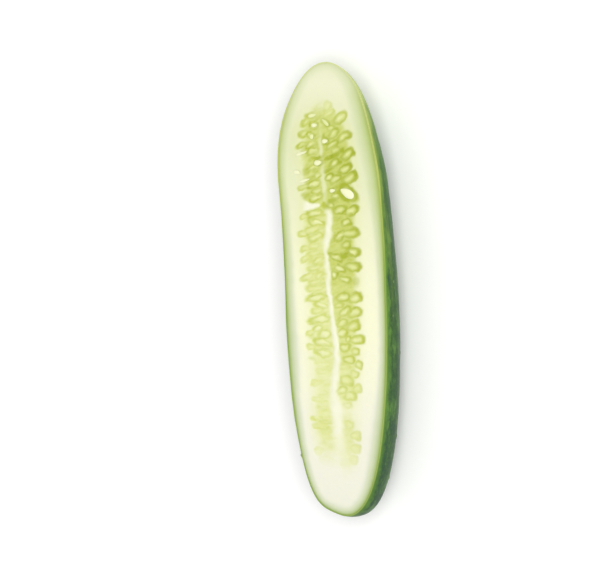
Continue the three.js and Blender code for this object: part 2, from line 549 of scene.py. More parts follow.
# Just under the cut the peel is lit from behind, in a band that widens to the blossom end.
place_up = add_node(tree, "SeparateXYZ", {"Vector": place}, out="Z")
under_cut = add_node(tree, "Math", {0: box_high.z, 1: place_up}, operation="SUBTRACT")
band = add_node(
    tree, "MapRange",
    {
        "Value": towards_blossom, "From Min": 0.78, "From Max": 0.95,
        "To Min": 3.5 * MM, "To Max": 4 * MM,
    },
    interpolation_type="SMOOTHSTEP",
)
uneven_band = add_node(
    tree, "MapRange",
    {"Value": patchy, "From Min": 0.3, "From Max": 0.7, "To Min": 0.4, "To Max": 1.7},
)
band_depth = add_node(tree, "Math", {0: band, 1: uneven_band}, operation="MULTIPLY")
down_band = add_node(tree, "Math", {0: under_cut, 1: band_depth}, operation="DIVIDE")
through_light = add_node(
    tree, "MapRange",
    {"Value": down_band, "From Min": 0, "From Max": 1, "To Min": 0.85, "To Max": 0},
)
wart_mark = add_node(tree, "Attribute", attribute_name="wart", out="Fac")
wart_amount = add_node(
    tree, "MapRange", {"Value": wart_mark, "From Min": 0.55, "From Max": 1, "To Max": 0.45},
)
stalk_mark = add_node(tree, "Attribute", attribute_name="stalk_scar", out="Fac")
scar_grain = add_node(tree, "TexNoise", {"Vector": place, "Scale": 1 / (0.7 * MM), "Detail": 5})
stalk_tan = add_node(
    tree, "ValToRGB", {"Fac": scar_grain}, stops=[(0.3, "#767442"), (0.7, "#bab184")],
)
edge_mark = add_node(tree, "Attribute", attribute_name="cut_edge", out="Fac")
band_green = add_node(
    tree, "ValToRGB", {"Fac": towards_blossom},
    stops=[
        (0.0, "#567c2a"), (1.0, "#c0c984"), (0.5, "#618c29"), (0.68, "#6d8f2d"), (0.8, "#8ca140"),
        (0.88, "#a5b457"),
    ],
)

# The peel's cut edge shows the paler layer under the outermost green.
edge_green = add_node(
    tree, "ValToRGB", {"Fac": towards_blossom},
    stops=[
        (0.0, "#859b4e"), (1.0, "#c6ce90"), (0.23, "#8fa454"), (0.45, "#829c4b"), (0.55, "#849c48"),
        (0.65, "#98a950"), (0.74, "#adb861"), (0.84, "#b0bb69"),
    ],
)

shade = green
for amount, over in (
    (light_patch, linear("#568230")),
    (dark_patch, linear("#1a412d")),
    (speckle, linear("#446b2c")),
    (streak, linear("#a2b75e")),
    (dot, linear("#728e48")),
    (through_light, band_green),
    (edge_mark, edge_green),
    (wart_amount, linear("#a2af74")),
    (stalk_mark, stalk_tan),
):
    shade = add_node(
        tree, "Mix", {"Factor": amount, MIX_UNDER: shade, MIX_OVER: over},
        data_type="RGBA", out=MIX_RESULT,
    )
pore_bump = add_node(tree, "TexNoise", {"Vector": place, "Scale": 1 / (0.9 * MM), "Detail": 3})
bumped = add_node(tree, "Bump", {"Height": pore_bump, "Strength": 0.25, "Distance": 0.12 * MM})
wax = add_node(
    tree, "MapRange",
    {"Value": broad, "From Min": 0.3, "From Max": 0.7, "To Min": 0.36, "To Max": 0.5},
)
surface = add_node(
    tree, "BsdfPrincipled",
    {
        "Base Color": shade, "Roughness": wax, "IOR": 1.4, "Specular IOR Level": 0.24,
        "Normal": bumped,
        "Subsurface Weight": 0.1, "Subsurface Scale": 1 * MM, "Subsurface Radius": (0.6, 1.0, 0.3),
    },
)
add_node(tree, "OutputMaterial", {"Surface": surface})

add_piece(
    "peel", peel_points, peel_quads, skin,
    {
        "streak_place": streak_place,
        "wart": warty[..., None],
        "cut_edge": cut_edge[..., None],
        "stalk_scar": stalk_scar[..., None],
    },
)


# ---- Flesh -------------------------------------------------------------------------------
# The firm wet wall and the soft seed chambers inside it, sliced through by one pull of a
# knife. The wall is cream, greener near the peel. The chambers hold sacs of clear green gel
# round flat seeds, in ranks on both sides of the pale core line.

FLESH_INSET = 0.45 * MM  # a little less than the peel, so that the two overlap out of sight
FLESH_DROP = 0.04 * MM  # the flesh shrinks back this far below the peel's cut edge
FLESH_CAP_ROWS, FLESH_CUT_ROWS = 8, 560
HIDDEN_COLUMNS = 14

# The core line: place along, place across, half width and paleness, in millimetres.
CORE_LINE = np.array((
    (-95, 0.5, 5.0, 0.0), (-78, 0.4, 4.5, 0.0), (-67, 0.0, 3.2, 0.45), (-60, -0.7, 2.8, 0.8),
    (-54, -0.9, 2.7, 0.95), (-48, -1.3, 2.9, 1.0), (-42, -2.2, 2.2, 1.0), (-36, -1.4, 1.5, 1.0),
    (-29, 0.0, 1.5, 1.0), (-25, -0.3, 1.1, 1.0), (-20, -0.9, 1.0, 1.0), (-13, -1.6, 0.8, 1.0),
    (-7, -2.2, 0.75, 1.0), (-1, -3.0, 0.9, 1.0), (5, -3.1, 1.0, 0.95), (10, -3.8, 0.8, 0.8),
    (15, -4.1, 0.7, 0.72), (21, -3.1, 1.4, 1.0), (28, -1.9, 1.5, 1.0), (32, -2.1, 1.2, 0.9),
    (34.5, -3.0, 0.8, 0.0), (38, -3.5, 0.7, 0.2), (42, -4.1, 0.8, 0.45), (50, -4.1, 0.8, 0.35),
    (54, -4.5, 0.7, 0.05), (58, -5.0, 0.8, 0.4), (66, -5.3, 0.7, 0.15), (70, -4.0, 0.7, 0.0),
    (95, 0, 1.0, 0.0),
))

# The chambers' outer edges, how full of gel each is and how deep its green: place along, then
# left edge, fill and depth, then right edge, fill and depth.
CHAMBERS = np.array((
    (-80, -5, 0.0, 0.0, 4, 0.0, 0.0), (-75, -6, 0.0, 0.0, 7.5, 0.15, 0.0),
    (-72, -8, 0.15, 0.0, 8.0, 0.5, 0.1), (-69, -11, 0.35, 0.0, 8.2, 0.6, 0.15),
    (-65, -11.8, 0.7, 0.1, 9.2, 0.7, 0.3), (-60, -12.6, 0.9, 0.2, 9.6, 0.75, 0.35),
    (-54, -13.6, 0.95, 0.2, 9.8, 0.7, 0.3), (-50.5, -13.4, 0.88, 0.12, 9.3, 0.35, 0.1),
    (-45, -13.2, 0.75, 0.05, 9.8, 0.75, 0.25), (-40, -13, 0.78, 0.08, 10, 0.85, 0.35),
    (-34, -13, 0.75, 0.1, 11, 0.8, 0.35), (-30, -13.3, 0.8, 0.1, 11.5, 0.85, 0.45),
    (-19, -13.6, 0.85, 0.15, 12, 0.9, 0.5), (-8, -13.2, 0.85, 0.15, 12.2, 0.95, 0.6),
    (0, -14, 0.9, 0.25, 12, 1.0, 0.65), (5, -15.6, 0.9, 0.3, 12.6, 1.0, 0.8),
    (15, -16, 0.9, 0.3, 12.6, 1.0, 0.9), (25, -16.6, 0.9, 0.4, 12.2, 1.0, 0.85),
    (35, -15.6, 0.95, 0.6, 12.4, 1.0, 0.9), (40, -15.2, 0.95, 0.7, 11.2, 1.0, 0.9),
    (47, -15.6, 0.95, 0.75, 12, 1.0, 0.95), (57, -16.6, 0.95, 0.8, 11.2, 1.0, 1.0),
    (66, -15.6, 0.95, 0.75, 9.8, 0.95, 0.85), (70, -14.2, 0.9, 0.7, 8, 0.95, 0.8),
    (73, -12.4, 0.75, 0.6, 6.6, 0.85, 0.6), (76, -10.6, 0.4, 0.5, 2, 0.7, 0.4),
    (79, -8, 0.05, 0.4, -0.5, 0.4, 0.3), (81, -6, 0.0, 0.4, -3, 0.0, 0.3),
))

# Each sac that the knife opened: place across, place along, length and width in millimetres,
# tilt in degrees, and how dark its wall is.
RIGHT_SACS = (
    (-1.8, 76.6, 5.6, 3.2, 42, 0.5), (-0.8, 73.6, 6.4, 3.0, 34, 0.4), (4.3, 71.6, 7.6, 3.7, 36, 0.9),
    (-2.4, 69.6, 5.4, 3.2, -42, 0.8), (0.2, 67.0, 4.6, 2.6, 32, 0.6), (1.2, 65.0, 6.6, 3.0, 38, 0.85),
    (5.9, 63.7, 7.6, 3.4, 28, 0.8), (-2.9, 61.9, 4.0, 3.3, 10, 1.0), (0.5, 60.6, 7.4, 2.6, 30, 0.75),
    (1.8, 58.2, 5.0, 2.4, 28, 0.6), (7.4, 56.9, 7.6, 3.8, 33, 1.0), (0.8, 53.1, 6.2, 3.3, 46, 0.95),
    (5.8, 50.8, 7.6, 3.6, 28, 1.0), (-1.1, 47.1, 4.4, 3.4, 10, 1.0), (1.6, 46.0, 6.6, 3.0, 30, 0.85),
    (8.0, 47.1, 7.8, 3.9, 26, 1.0), (0.0, 41.5, 4.0, 3.0, 12, 0.7), (1.8, 39.0, 4.4, 2.6, 16, 0.75),
    (-1.0, 35.2, 3.6, 2.6, 10, 0.7), (3.0, 33.5, 7.4, 3.5, 16, 1.0), (8.4, 33.4, 7.4, 3.6, 30, 0.9),
    (5.7, 28.4, 5.2, 3.4, 20, 0.9), (2.6, 22.8, 7.2, 3.4, 34, 0.95), (8.0, 24.0, 8.0, 3.8, 8, 0.9),
    (5.6, 19.4, 5.2, 3.4, 8, 0.85), (8.8, 16.4, 7.6, 3.7, -2, 0.9), (0.8, 13.8, 7.0, 3.0, -12, 0.95),
    (8.4, 10.2, 7.6, 3.8, 4, 0.95), (2.3, 9.0, 6.2, 3.0, -4, 0.75), (-0.4, 6.4, 3.8, 3.3, -28, 1.0),
    (4.5, 4.6, 6.6, 3.3, -2, 0.85), (3.3, -2.4, 7.4, 3.7, 14, 0.95), (8.8, -2.7, 7.2, 3.8, 18, 0.95),
    (1.5, -6.2, 4.8, 2.6, 14, 0.6), (4.4, -8.5, 6.6, 3.3, 30, 0.85), (9.0, -8.8, 7.4, 3.8, 14, 0.9),
    (2.6, -13.5, 6.6, 3.3, 18, 0.8), (7.9, -14.2, 7.0, 4.0, 22, 0.95), (2.3, -17.8, 6.2, 3.5, 30, 0.9),
    (5.6, -19.8, 3.6, 3.2, 0, 0.9), (9.6, -20.0, 6.8, 3.7, 10, 0.9), (3.6, -23.4, 6.4, 3.6, 4, 0.95),
    (8.8, -25.2, 4.4, 3.4, 0, 0.75), (5.2, -28.3, 5.6, 3.4, 0, 0.95), (9.8, -30.4, 4.0, 3.2, 0, 0.75),
    (3.0, -31.6, 6.0, 2.8, 0, 0.3), (7.8, -34.4, 4.6, 3.0, 0, 0.5), (3.6, -37.4, 7.2, 4.2, -4, 0.8),
    (1.7, -41.4, 5.2, 3.6, 40, 0.8), (5.3, -43.6, 6.2, 3.6, 6, 0.8), (8.6, -40.6, 5.0, 3.4, 14, 0.3),
    (4.2, -47.4, 4.6, 3.0, 8, 0.4), (4.4, -55.6, 4.6, 3.6, 0, 0.22), (7.4, -60.4, 4.6, 3.6, 0, 0.28),
    (7.4, -65.6, 4.8, 3.8, 0, 0.18), (6.0, -70.4, 4.8, 3.6, 0, 0.12),
)
LEFT_SACS = (
    (-8.8, 72.4, 6.4, 3.0, 22, 0.7), (-7.8, 68.4, 4.8, 3.2, 8, 0.95), (-12.0, 69.2, 5.6, 2.6, 26, 0.5),
    (-9.4, 64.1, 5.0, 3.2, -34, 0.75), (-13.0, 64.8, 5.4, 2.4, 30, 0.5), (-9.6, 60.0, 7.0, 2.8, 26, 0.75),
    (-14.4, 60.0, 5.6, 2.4, 26, 0.45), (-9.0, 57.2, 6.2, 2.8, 20, 0.8), (-6.6, 52.8, 5.0, 3.4, 12, 0.9),
    (-8.8, 50.5, 5.0, 2.4, 8, 0.5), (-6.6, 47.4, 4.4, 2.6, 30, 0.6), (-8.8, 44.0, 8.2, 3.1, 22, 0.9),
    (-13.6, 42.4, 5.4, 2.4, 20, 0.35), (-7.4, 41.3, 6.0, 2.7, 25, 0.75), (-8.2, 38.4, 7.8, 2.8, 20, 0.85),
    (-8.6, 31.5, 9.4, 3.0, 12, 0.9), (-13.8, 29.9, 4.6, 2.4, 14, 0.35), (-8.2, 27.9, 8.4, 3.1, -8, 0.9),
    (-10.0, 25.0, 9.6, 3.0, 24, 0.7), (-14.6, 22.8, 5.0, 2.6, 5, 0.45), (-8.8, 21.6, 8.2, 2.9, 16, 0.7),
    (-9.2, 18.2, 6.4, 2.6, 10, 0.4), (-13.6, 16.8, 5.4, 2.4, 20, 0.3), (-9.8, 14.9, 6.6, 2.6, 12, 0.4),
    (-13.6, 12.4, 5.6, 2.6, 16, 0.4), (-8.0, 12.2, 6.2, 2.6, 26, 0.45), (-9.4, 9.1, 8.4, 2.6, 22, 0.5),
    (-13.0, 5.0, 7.2, 2.6, 22, 0.4), (-7.4, 5.8, 5.0, 2.6, 28, 0.5), (-9.8, 3.2, 6.8, 2.4, 14, 0.45),
    (-9.6, 0.8, 8.4, 2.6, 10, 0.5), (-9.2, -3.4, 10.0, 3.0, 11, 0.85), (-7.4, -6.4, 7.4, 2.6, -9, 0.7),
    (-9.2, -8.8, 6.0, 2.6, 8, 0.4), (-8.2, -12.6, 10.4, 3.2, 9, 0.9), (-9.0, -16.6, 5.6, 2.8, 14, 0.75),
    (-5.8, -18.5, 6.6, 3.7, 24, 0.9), (-12.6, -18.2, 4.4, 2.6, 8, 0.4), (-7.0, -21.9, 8.8, 3.0, -8, 0.8),
    (-12.4, -24.0, 4.6, 2.4, 4, 0.3), (-6.8, -26.6, 8.6, 3.1, -6, 0.75), (-6.8, -30.8, 7.8, 2.4, -8, 0.25),
    (-6.4, -34.4, 8.0, 2.8, -8, 0.2), (-10.4, -39.0, 6.0, 2.6, 14, 0.1), (-5.8, -41.6, 5.0, 2.4, -30, 0.1),
    (-9.6, -46.0, 6.8, 2.4, 0, 0.05), (-10.8, -53.6, 5.4, 2.0, 6, 0.12), (-8.6, -57.4, 7.4, 2.6, 0, 0.08),
    (-10.0, -67.4, 4.4, 3.4, 10, 0.12), (-5.6, -71.6, 8.0, 3.6, -8, 0.1),
)

# Darker pools of gel squeezed between the sacs: place across and along, length and width in
# millimetres, tilt in degrees, and depth of colour.
POOLS = (
    (0.4, 56.0, 10.5, 1.9, 26, 1.0), (4.8, 58.4, 3.2, 2.4, 40, 0.9), (3.5, 53.8, 2.8, 2.4, 60, 0.9),
    (-3.6, 64.0, 2.6, 2.2, 60, 0.7), (2.2, 60.9, 2.2, 2.2, 0, 0.8), (-1.8, 50.0, 5.0, 1.8, 20, 0.85),
    (-8.0, 60.8, 3.4, 3.2, 0, 0.6), (-7.0, 54.9, 7.0, 1.7, 12, 0.95), (-11.8, 49.2, 4.6, 3.0, 20, 0.7),
    (-7.6, 49.0, 3.4, 2.2, 20, 0.6), (-9.6, 46.3, 7.0, 1.8, 20, 0.6), (-12.6, 38.8, 4.4, 3.2, 20, 0.7),
    (-9.4, 36.8, 8.4, 1.5, 8, 0.85), (-3.6, 34.9, 4.2, 2.8, -30, 1.0), (-0.6, 36.8, 6.4, 1.7, 12, 0.9),
    (3.2, 43.6, 7.4, 2.0, 18, 0.7), (6.2, 43.6, 2.4, 1.8, 10, 0.8), (2.0, 30.0, 5.2, 2.6, 0, 0.35),
    (10.2, 26.0, 4.6, 2.4, -24, 0.7), (4.6, 14.6, 5.4, 2.6, 12, 1.1), (1.7, 10.9, 2.2, 1.8, 0, 0.8),
    (10.0, 4.0, 4.4, 3.6, 0, 0.5), (9.4, -0.8, 3.8, 2.0, 6, 0.75), (-9.4, 23.8, 6.4, 1.4, 24, 0.45),
    (-7.6, 23.2, 4.4, 1.5, 4, 0.55), (-9.2, 19.9, 5.0, 1.5, 18, 0.6), (-8.2, 7.9, 2.8, 2.8, 30, 0.45),
    (-5.9, 5.0, 1.8, 2.2, 0, 0.5), (-11.6, 2.3, 5.0, 1.4, 14, 0.45), (-10.0, -2.0, 8.6, 1.5, 8, 0.65),
    (-9.2, -5.0, 4.6, 1.4, 0, 0.45), (-6.4, -10.6, 4.4, 1.7, 14, 0.65), (-12.2, -12.0, 3.2, 2.6, 0, 0.45),
    (-9.2, -14.9, 5.4, 1.6, 10, 0.55), (-12.4, -19.7, 3.6, 2.8, 0, 0.5), (-6.0, -24.8, 5.4, 1.4, 0, 0.5),
    (-12.2, -29.0, 4.2, 2.0, 0, 0.45), (1.4, -11.6, 3.6, 1.8, 40, 0.6), (5.0, -15.8, 5.4, 1.4, 20, 0.6),
    (9.8, -30.6, 3.6, 2.8, 0, 0.5), (4.4, -54.8, 3.6, 2.0, 0, 0.5), (-7.4, -58.0, 5.0, 4.4, 0, 0.35),
)

# Seeds that lie bare on the face: place across, place along, length and width in millimetres,
# tilt in degrees, and how clean of gel it is.
BARE_SEEDS = (
    (7.0, 40.7, 6.8, 3.8, 155, 1.0), (-14.7, 56.3, 6.2, 1.3, 18, 0.8), (-16.7, 48.4, 3.2, 1.8, -10, 0.8),
    (-13.4, 45.1, 5.6, 1.2, 18, 0.8), (0.0, 41.5, 2.7, 1.6, 12, 0.7), (-7.8, 68.3, 2.8, 1.7, 8, 0.6),
    (-2.9, 61.9, 2.8, 1.8, 12, 0.7), (-6.6, 52.8, 3.6, 2.3, 12, 0.6), (-2.5, 69.7, 4.0, 1.5, 138, 0.15),
    (-9.2, 63.6, 2.2, 1.8, 60, 0.3), (-8.7, 72.3, 3.8, 1.5, 16, 0.3),
)

# Seeds that the knife sliced through or that lie just under the face: place across and along,
# length and width in millimetres, tilt in degrees, and paleness.
SLICED_SEEDS = (
    (8.7, 16.4, 5.0, 1.3, -3, 0.85), (2.2, 9.0, 4.4, 1.6, -4, 0.9), (4.4, 4.6, 4.4, 1.4, -3, 0.75),
    (-7.8, 28.0, 5.0, 1.4, -10, 1.0), (-7.2, -6.3, 5.4, 1.3, -9, 0.9), (-8.6, -16.5, 2.8, 1.6, 14, 1.0),
    (-5.4, -18.3, 4.6, 2.2, 24, 1.0), (1.8, -17.6, 4.2, 1.6, 30, 0.9), (1.8, -41.3, 3.2, 1.3, 40, 0.7),
    (-0.3, 6.4, 1.9, 1.6, 0, 0.9), (-7.2, -12.4, 6.6, 1.9, 9, 0.9), (-6.6, -21.9, 6.2, 1.6, -8, 0.85),
    (-6.4, -26.6, 5.6, 1.6, -6, 0.85), (-1.2, 47.0, 2.7, 1.6, 10, 0.75), (-8.6, 44.0, 6.2, 1.4, 22, 0.7),
    (-9.0, 57.4, 3.6, 1.6, 26, 0.5), (-9.4, -3.3, 8.2, 1.5, 11, 0.7), (3.6, -2.2, 5.0, 1.9, 14, 0.55),
    (9.0, -2.8, 4.6, 1.5, 18, 0.7), (8.4, 10.2, 4.8, 1.5, 4, 0.55), (0.8, 13.8, 4.8, 1.4, -12, 0.45),
    (3.1, 33.5, 5.2, 1.6, 16, 0.6), (8.2, 33.3, 5.2, 1.6, 30, 0.55), (5.8, 28.4, 3.4, 1.6, 20, 0.5),
    (8.0, 47.1, 5.0, 1.4, 26, 0.55), (1.8, 46.1, 5.0, 1.5, 30, 0.5), (7.3, 56.9, 5.0, 1.5, 33, 0.5),
    (4.3, 71.5, 5.2, 1.4, 34, 0.4), (-11.4, -53.0, 2.2, 0.9, 0, 0.7), (-8.2, -31.2, 5.4, 0.9, -10, 0.55),
    (6.7, -60.3, 2.2, 1.3, 0, 0.45), (-8.6, 31.4, 5.6, 1.5, 10, 0.6), (-14.4, 29.9, 3.6, 1.6, 14, 0.4),
    (9.2, -8.8, 4.8, 1.5, 14, 0.55), (4.2, -8.6, 4.6, 1.7, 32, 0.5), (5.6, 23.7, 9.0, 1.4, 8, 0.45),
)


def face_columns():
    """Places from the left edge, -1, to the right edge, 1, of the face: fine at the edges, coarse in
    the wall, and fine over the seed chambers."""
    spans = ((0, 0.035, 5), (0.035, 0.14, 8), (0.14, 0.83, 106), (0.83, 0.965, 9), (0.965, 1, 5))
    parts = [np.linspace(start, stop, count, endpoint=False) for start, stop, count in spans]
    return np.concatenate([*parts, [1]])


flesh_shares = row_shares(FLESH_INSET, FLESH_CAP_ROWS, FLESH_CUT_ROWS)
hidden, _ = underside(flesh_shares, FLESH_INSET, HIDDEN_COLUMNS)
hidden = rest_flat(hidden, resting_height - FLESH_INSET)
columns = face_columns()
left_edge, right_edge = hidden[:, 0], hidden[:, -1]
face = left_edge[:, None] + (right_edge - left_edge)[:, None] * columns[:, None]
across, along = face[..., 0] / MM, face[..., 1] / MM
is_face = (cut_angle(flesh_shares, FLESH_INSET) < TOP)[:, None]
is_face[np.argmax(is_face)] = False  # the row where the cut starts has no width yet

# The knife drags the soft gel about a little, so nothing drawn on it is quite regular.
DRAG_WIDE, DRAG_FINE = 0.5, 0.28  # millimetres
drag = [
    DRAG_WIDE * lattice_noise(across, along, 3.3, seed)
    + DRAG_FINE * lattice_noise(across, along, 1.4, seed + 1)
    for seed in (21, 23)
]
drawn_across, drawn_along = across + drag[0], along + drag[1]

core_across, core_half, core_pale = (
    np.interp(drawn_along, CORE_LINE[:, 0], CORE_LINE[:, field]) for field in (1, 2, 3)
)
from_core_line = np.abs(drawn_across - core_across)
core_line = core_pale * (1 - smooth_step(from_core_line, 0.1 * core_half, 1.2 * core_half + 0.75))
core_line *= 0.9 + 0.2 * lattice_noise(across, along, 2.8, 29)

left, left_fill, left_depth, right, right_fill, right_depth = (
    np.interp(drawn_along, CHAMBERS[:, 0], CHAMBERS[:, field]) for field in range(1, 7)
)
right_side = smooth_step(drawn_across - core_across, -1, 1)
fill = left_fill + (right_fill - left_fill) * right_side
depth = left_depth + (right_depth - left_depth) * right_side
inside = smooth_step(drawn_across, left + 0.8, left + 4.4)
inside *= 1 - smooth_step(drawn_across, right - 4.4, right - 1.2)
gel = inside * (0.72 + 0.2 * depth)
halo = smooth_step(across, left - 3.2, left + 2) * (1 - smooth_step(across, right - 2, right + 3.2))
halo *= fill

SAC_TAPER = 0.14  # how much wider than its middle a sac is at its outer end
SAC_BEND = 0.4  # millimetres
WALL_MIDDLE, WALL_SPREAD = 0.84, 0.3  # of the way out from the sac's middle to its edge
LENS_LONG, LENS_WIDE = 0.74, 0.5  # the seed's size in its sac


def sac_places(x, y, long, wide, tilt):
    """Where each point of the face lies in a sac: how far along it and how far across it, as
    shares of its half length and half width, with a bent middle line and a width that grows
    outwards."""
    cosine, sine = np.cos(np.radians(tilt)), np.sin(np.radians(tilt))
    lengthwise = ((drawn_across - x) * cosine + (drawn_along - y) * sine) / (long / 2)
    outwards = np.clip(lengthwise * (1 if x > -3 else -1), -1.2, 1.2)
    crosswise = (drawn_along - y) * cosine - (drawn_across - x) * sine
    crosswise = crosswise + SAC_BEND * np.sin(5 * x + 3 * y) * (outwards**2 - 0.5)
    return lengthwise, crosswise / (wide / 2 * (1 + SAC_TAPER * outwards)), outwards


def oval(lengthwise, crosswise, power):
    """Distance from a sac's middle, 1 at its edge: the root of a sum of powers, where 2 gives an
    ellipse, more a squarer oval and less a pointed one."""
    return (np.abs(lengthwise) ** power + np.abs(crosswise) ** power) ** (1 / power)


# Fine fibres run out from the core at a slant.
fibre_tilt = np.radians(np.interp(along, (-60, 0, 50), (0, 12, 28)))
with_fibres = across * np.cos(fibre_tilt) + along * np.sin(fibre_tilt)
over_fibres = along * np.cos(fibre_tilt) - across * np.sin(fibre_tilt)
fibres = lattice_noise(with_fibres, over_fibres * 3.5, 2.6, 26)
streaks = lattice_noise(with_fibres, over_fibres * 3.2, 4.2, 35)

streaky = 1 - 0.6 * right_side
wall = inside * (0.2 + 0.3 * depth) * streaky * smooth_step(streaks, 0.0, 0.8)
sac_seed = 0.4 * inside * (1 - depth) * smooth_step(-streaks, 0.25, 0.9)
for x, y, long, wide, tilt, darkness in POOLS:
    lengthwise, crosswise, _ = sac_places(x, y, long, wide, tilt)
    wall = np.maximum(wall, darkness * (1 - smooth_step(oval(lengthwise, crosswise, 2), 0.3, 1.5)))
thick_and_thin = 0.92 + 0.22 * lattice_noise(across, along, 2.2, 25)
x, y, long, wide, tilt, _ = BARE_SEEDS[0]
big_sac = (x, y, long + 3, wide + 2.6, tilt, 1.5)  # the sac that the biggest bare seed lies in
for x, y, long, wide, tilt, darkness in (*RIGHT_SACS, *LEFT_SACS, big_sac):
    lengthwise, crosswise, outwards = sac_places(x, y, long, wide, tilt)
    out = oval(lengthwise, crosswise, 2.4)
    inside_sac = 1 - smooth_step(out, 0.45, 0.95)
    wall = wall * (1 - 0.85 * inside_sac)
    deeper = 0.84 + 0.22 * np.tanh(1.4 * outwards)
    around_sac = np.exp(-(((out - WALL_MIDDLE) / (WALL_SPREAD * thick_and_thin)) ** 2))
    wall = np.maximum(wall, darkness * deeper * thick_and_thin * around_sac)
    gel = np.maximum(gel * (1 - 0.2 * inside_sac), (1 - smooth_step(out, 0.95, 1.35)) * 0.85)
    lens = oval(lengthwise / LENS_LONG, crosswise / LENS_WIDE, 1.7)
    pale = (0.2 + 0.5 * darkness) * (1 + 0.3 * np.sin(7 * x - 4 * y))
    sac_seed = sac_seed * (1 - 0.7 * inside_sac)
    sac_seed = np.maximum(sac_seed, pale * (1 - smooth_step(lens, 0.1, 1.1)))
for x, y, long, wide, tilt, paleness in SLICED_SEEDS:
    lengthwise, crosswise, _ = sac_places(x, y, long + 0.6, wide + 0.5, tilt)
    lens = oval(lengthwise, crosswise, 1.8)
    sac_seed = np.maximum(sac_seed, paleness * (1 - smooth_step(lens, 0.3, 1.1)))

# One big seed was sliced along its length, so it shows as pale as the core: a wedge that
# narrows from its outer end to a point.
from_point = np.clip((-5.8 - drawn_across) / 9, 0, 1)
beside_seed = np.abs(drawn_along - 34.8) - 2.3 * from_point**0.6
long_seed = (1 - smooth_step(beside_seed, -0.9, 0.5)) * smooth_step(drawn_across, -15.6, -12.6)
long_seed *= smooth_step(from_point, 0, 0.1)
wall *= 1 - long_seed
core_line = np.maximum(core_line, long_seed)

# The fibres mark all of it a little, and the core line shows through.
off_core = 1 - 0.92 * core_line
sac_fill = np.clip(fill * 1.1, 0, 1)
gel = np.clip(gel * (1 + 0.25 * streaky * fibres), 0, 1) * off_core * fill
wall = np.clip(wall * (1 + 0.35 * streaky * fibres), 0, 1) * off_core * sac_fill
sac_seed = np.clip(sac_seed * (1 + 0.25 * fibres), 0, 1) * sac_fill

# How near the peel: 1 at it and 0 where the green has faded out of the wall. Place along, then
# how deep the green goes and how strong it is, on the left and on the right.
GREENING = np.array((
    (-95, 4.2, 0.9, 5.2, 1.0), (-75, 4.4, 0.9, 6.4, 1.0), (-60, 5.0, 0.95, 7.2, 1.0),
    (-45, 5.2, 1.0, 5.8, 1.0), (-30, 7.2, 1.0, 4.8, 1.0), (-15, 6.8, 1.0, 4.6, 1.0),
    (0, 6.0, 1.0, 5.0, 1.0), (15, 6.0, 1.0, 5.6, 1.0), (30, 5.6, 0.95, 6.8, 1.0),
    (45, 5.2, 0.85, 8.8, 1.0), (57, 5.6, 0.8, 10.2, 1.0), (70, 6.0, 0.75, 10.0, 1.0),
    (80, 5.4, 0.55, 9.0, 0.85), (88, 4.2, 0.35, 7.0, 0.5), (95, 4.0, 0.3, 4.0, 0.4),
))
cut_outline = np.concatenate([left_edge[FLESH_CAP_ROWS:], right_edge[FLESH_CAP_ROWS:]]) / MM


def distance_to_edge():
    """Distance from each point of the face to the nearest point of its outline, in millimetres,
    taking the outline's points a few at a time."""
    nearest = np.full(across.shape, 1e9)
    for start in range(0, len(cut_outline), 40):
        part = cut_outline[start:start + 40]
        gap = np.hypot(across[..., None] - part[:, 0], along[..., None] - part[:, 1])
        nearest = np.minimum(nearest, gap.min(axis=-1))
    return nearest


to_edge = distance_to_edge()
side_share = smooth_step(across, -10, 10)
left_reach, left_green, right_reach, right_green = (
    np.interp(along, GREENING[:, 0], GREENING[:, field]) for field in range(1, 5)
)
reach = left_reach + (right_reach - left_reach) * side_share
greenness = left_green + (right_green - left_green) * side_share
ragged = 1 + 0.05 * lattice_noise(across, along, 3.4, 27)
rim_zone = np.clip(1 - to_edge * ragged / reach, 0, 1)

# Relief, in millimetres: the gel sags below the knife's plane, each seed bulges in its sac, and
# the firm wall is very gently uneven.
GEL_SAG, SAC_WALL_SAG, SEED_BULGE, CORE_BULGE, BARE_SEED_DENT = 0.22, 0.2, 0.25, 0.06, 0.3
rise = 0.05 * lattice_noise(across, along, 9, 31) + 0.015 * lattice_noise(across, along, 1.1, 32)
rise += SEED_BULGE * sac_seed + CORE_BULGE * core_line - GEL_SAG * gel - SAC_WALL_SAG * wall
rise *= smooth_step(to_edge, 0.0, 1.0)
rise -= FLESH_DROP / MM
for x, y, long, wide, tilt, _ in BARE_SEEDS:
    gap = np.hypot(across - x, along - y)
    rise -= BARE_SEED_DENT * np.exp(-((gap / (wide * 0.7)) ** 2))
face[..., 2] += np.where(is_face, rise * MM, 0)

# Each row runs over the face, back under the fruit and on to its own first point.
flesh_points = np.concatenate([face, hidden[:, ::-1], face[:, :1]], axis=1)
flesh_quads = grid_quads(*flesh_points.shape[:2])


def over_face(value):
    """The face's values with the hidden underside's added: as at the peel, with no gel or seeds."""
    hidden_value = np.repeat(value[:, :1], HIDDEN_COLUMNS + 1, axis=1)
    return np.concatenate([value, hidden_value], axis=1)[..., None]


